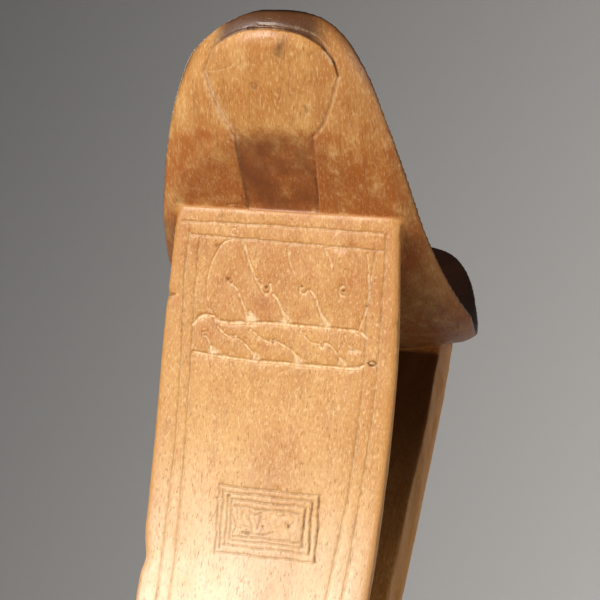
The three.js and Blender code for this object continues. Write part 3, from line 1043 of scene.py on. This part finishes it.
class HeadrestSizes(bpy.types.PropertyGroup):
    """How finely the headrest is made and how much it is worn."""

    voxel: FloatProperty(
        name="Mesh step", description="Size of the even mesh that wear is worked on",
        default=0.00045, min=0.0004, max=0.002, unit="LENGTH",
    )
    wear: IntProperty(
        name="Wear", description="How many times every edge is rubbed down", default=7, min=0, max=40,
    )
    cut_depth: FloatProperty(
        name="Cut depth", description="How deep the carved lines are, against their full depth",
        default=1.0, min=0, max=2, subtype="FACTOR",
    )
    most_triangles: IntProperty(
        name="Most triangles", description="Triangles of the finished headrest", default=192000,
    )


def tint(name, description, value):
    return FloatVectorProperty(
        name=name, description=description, default=value, size=3, min=0, max=1, subtype="COLOR",
    )


def power(name, description, value):
    return FloatProperty(name=name, description=description, default=value, min=0, unit="POWER")


class WoodColours(bpy.types.PropertyGroup):
    """Colours of the old wood."""

    # also laid on as painted sheen low on the panels
    bare_and_sheen: tint("Bare", "Dry pale wood, worn free of oil, low on the legs", (0.9, 0.72, 0.51))
    # Neck: dark wood, and painted shade where the sunk neck lies in shadow
    neck: tint("Neck", "Dark worn wood in the neck of the keyhole", (0.19, 0.05, 0.009))
    honey: tint("Honey", "Light wood of the panels", (0.62, 0.335, 0.105))
    amber: tint("Amber", "Deeper wood between the light streaks", (0.50, 0.225, 0.055))
    umber: tint("Umber", "Dark streaks and pores", (0.22, 0.07, 0.016))
    pale: tint("Pale", "Bleached fibres", (0.87, 0.6, 0.30))
    russet: tint("Russet", "Handled wood of the tongues and underside", (0.37, 0.105, 0.013))
    # Russet is also laid on as painted shade, on down-facing faces and at the top of the front panel
    rim: tint("Rim", "Polished wood along the crescent's edge", (0.06, 0.018, 0.007))
    # Hollow: real darkening by oiled hair, made near black as painted shade as well
    hollow: tint("Hollow", "Wood darkened by oiled hair, where the neck lies", (0.014, 0.005, 0.003))
    # painted shade: a near-black colour laid between the legs where shade falls
    shade_between_legs_tone: tint("Soot", "Smoke-darkened wood between the legs", (0.045, 0.011, 0.003))
    dust: tint("Dust", "Pale dust in the cuts", (0.82, 0.62, 0.38))
    dirt: tint("Dirt", "Dark dirt in cracks and deep cuts", (0.045, 0.013, 0.005))


class StudioLook(bpy.types.PropertyGroup):
    """Light and surroundings."""

    key: power("Key light", "Power of the main light", 80)
    fill: power("Fill light", "Power of the side light", 4)
    ambient: FloatProperty(
        name="Ambient", description="Strength of the light from all round", default=0.055, min=0,
    )
    floor: tint("Floor", "Colour of the floor", (0.72, 0.71, 0.69))
    back: power("Back light", "Power of the light behind", 1.1)
    backdrop: tint("Backdrop", "Colour of the wall behind", (0.6, 0.592, 0.588))


# ---- operators


class HEADREST_OT_carve(bpy.types.Operator):
    """Cut, wear, carve and finish the headrest"""

    bl_idname = "headrest.carve"
    bl_label = "Carve the Headrest"

    def execute(self, context):
        sizes = context.scene.headrest_sizes
        thing = blank()
        thing.name = thing.data.name = "carved_headrest"
        worn(thing, sizes.voxel, sizes.wear)
        carvings = [
            Carving(-1, border() + great_row() + small_row() + nested_boxes() + keyhole() + accidents()),
            Carving(1, border() + keyhole()),
        ]
        refined(thing, carvings[:1], CUT_BAND)
        points, normals = arrays(thing.data)
        depth = sum(carving.cut(points, normals)[0] for carving in carvings)
        out = hand_marks(points) - sizes.cut_depth * depth - dents(points)
        settled(thing, points + normals * out[:, None])
        thinned(thing, sizes.most_triangles, carvings[:1])
        wood_zones(thing.data, carvings)
        thing.data.shade_smooth()
        thing.data.materials.clear()
        thing.data.materials.append(wood_material(context.scene.headrest_colours))
        if len(thing.data.vertices) < 1000:
            raise RuntimeError("the carved headrest came out empty")
        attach(thing, BODY)
        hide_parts(NODE)
        return {"FINISHED"}


def area_light(name, place, target, size, power, tone=(1, 1, 1)):
    """A round lamp at a place, pointing at a target."""
    data = bpy.data.lights.new(name, "AREA")
    data.shape = "DISK"
    data.size = size
    data.energy = power
    data.color = tone
    light = placed(name, data)
    light.location = place
    light.rotation_euler = (Vector(target) - Vector(place)).to_track_quat("-Z", "Y").to_euler()
    return light


def flat(name, corners, shade, painted_light_way=None):
    """A flat stage surface with a plain matt finish, which can have painted light, lighter one way across.
    """
    mesh = bpy.data.meshes.new(name)
    mesh.from_pydata(corners, [], [(0, 1, 2, 3)])
    thing = placed(name, mesh)
    material = bpy.data.materials.new(name)
    material.use_nodes = True
    n = Nodes(material.node_tree)
    shader = n.surface()
    shader.inputs["Base Color"].default_value = (*shade, 1)
    shader.inputs["Roughness"].default_value = 0.9
    if painted_light_way:
        # painted light: darker one way across, up to the plain colour
        place = n.add("ShaderNodeTexCoord").outputs["Object"]
        run = n.add("ShaderNodeVectorMath", {0: place, 1: painted_light_way}, operation="DOT_PRODUCT")
        painted_light_share = n.maths("EXPONENT", n.maths("MINIMUM", run.outputs["Value"], 0.0))
        tone = n.add("ShaderNodeVectorMath", {0: colour(shade), "Scale": painted_light_share}, operation="SCALE")
        n.tree.links.new(tone.outputs["Vector"], shader.inputs["Base Color"])
    mesh.materials.append(material)
    return thing


def camera():
    """A camera low in front, looking up at the rest from its end, and rolled a little."""
    azimuth, elevation, roll = map(math.radians, CAMERA_TURN)
    across = math.cos(elevation)
    back = Vector((math.sin(azimuth) * across, -math.cos(azimuth) * across, math.sin(elevation)))
    level = Vector((math.cos(azimuth), math.sin(azimuth), 0))
    upward = level.cross(-back)
    right = math.cos(roll) * level + math.sin(roll) * upward
    up = math.cos(roll) * upward - math.sin(roll) * level
    data = bpy.data.cameras.new("camera")
    data.lens = CAMERA_LENS
    data.sensor_width = CAMERA_SENSOR
    data.clip_start, data.clip_end = 0.01, 20
    thing = placed("camera", data)
    turn = Matrix((right, up, back)).transposed().to_4x4()
    thing.matrix_world = Matrix.Translation(CAMERA_PLACE) @ turn
    bpy.context.scene.camera = thing


class HEADREST_OT_stage(bpy.types.Operator):
    """Set up the floor, the backdrop, the lights and the camera"""

    bl_idname = "headrest.stage"
    bl_label = "Set Up the Studio"

    def execute(self, context):
        look = context.scene.headrest_studio
        half, wall, top = STAGE_HALF, WALL_PLACE, WALL_TOP
        floor = [(-half, -half, 0), (half, -half, 0), (half, wall, 0), (-half, wall, 0)]
        flat("floor", floor, look.floor)
        backdrop = [(-half, wall, 0), (half, wall, 0), (half, wall, top), (-half, wall, top)]
        # the backdrop has painted light across it
        flat("backdrop", backdrop, look.backdrop, painted_light_way=WALL_PAINTED_LIGHT)
        area_light("key", place=(-1.12, -2.26, 0.48), target=(0, 0, 0.1), size=0.9,
                   power=look.key, tone=(1, 0.98, 0.95))
        area_light("fill", place=(0.95, -0.6, 0.1), target=(0, 0, 0.11), size=0.45,
                   power=look.fill, tone=(1, 0.88, 0.76))
        back = area_light("back", place=(-0.8, 0.85, 0.8), target=(0, 0, 0.1), size=0.6,
                          power=look.back)
        back.data.spread = math.radians(BACK_SPREAD)
        world = bpy.data.worlds.new("studio")
        world.use_nodes = True
        background = world.node_tree.nodes["Background"]
        background.inputs["Color"].default_value = (1, 0.96, 0.92, 1)
        background.inputs["Strength"].default_value = look.ambient
        context.scene.world = world
        context.scene.view_settings.view_transform = "Standard"
        camera()
        return {"FINISHED"}


class HEADREST_PT_panel(bpy.types.Panel):
    """Everything that can be changed, and the two steps"""

    bl_idname = "HEADREST_PT_panel"
    bl_label = "Carved Headrest"
    bl_space_type = "VIEW_3D"
    bl_region_type = "UI"
    bl_category = "Headrest"

    def draw(self, context):
        layout = self.layout
        for title, group, step in (
            ("Sizes", context.scene.headrest_sizes, None),
            ("Wood", context.scene.headrest_colours, HEADREST_OT_carve),
            ("Studio", context.scene.headrest_studio, HEADREST_OT_stage),
        ):
            box = layout.box()
            box.label(text=title)
            for name in group.__annotations__:
                box.prop(group, name)
            if step:
                box.operator(step.bl_idname)


GROUPS = {
    "headrest_sizes": HeadrestSizes, "headrest_colours": WoodColours, "headrest_studio": StudioLook,
}
CLASSES = (*GROUPS.values(), HEADREST_OT_carve, HEADREST_OT_stage, HEADREST_PT_panel)


def register():
    for each in CLASSES:
        bpy.utils.register_class(each)
    for name, group in GROUPS.items():
        setattr(bpy.types.Scene, name, PointerProperty(type=group))


def unregister():
    for name in GROUPS:
        delattr(bpy.types.Scene, name)
    for each in reversed(CLASSES):
        bpy.utils.unregister_class(each)


def main():
    register()
    bpy.ops.headrest.stage()
    bpy.ops.headrest.carve()


if __name__ == "__main__":
    main()
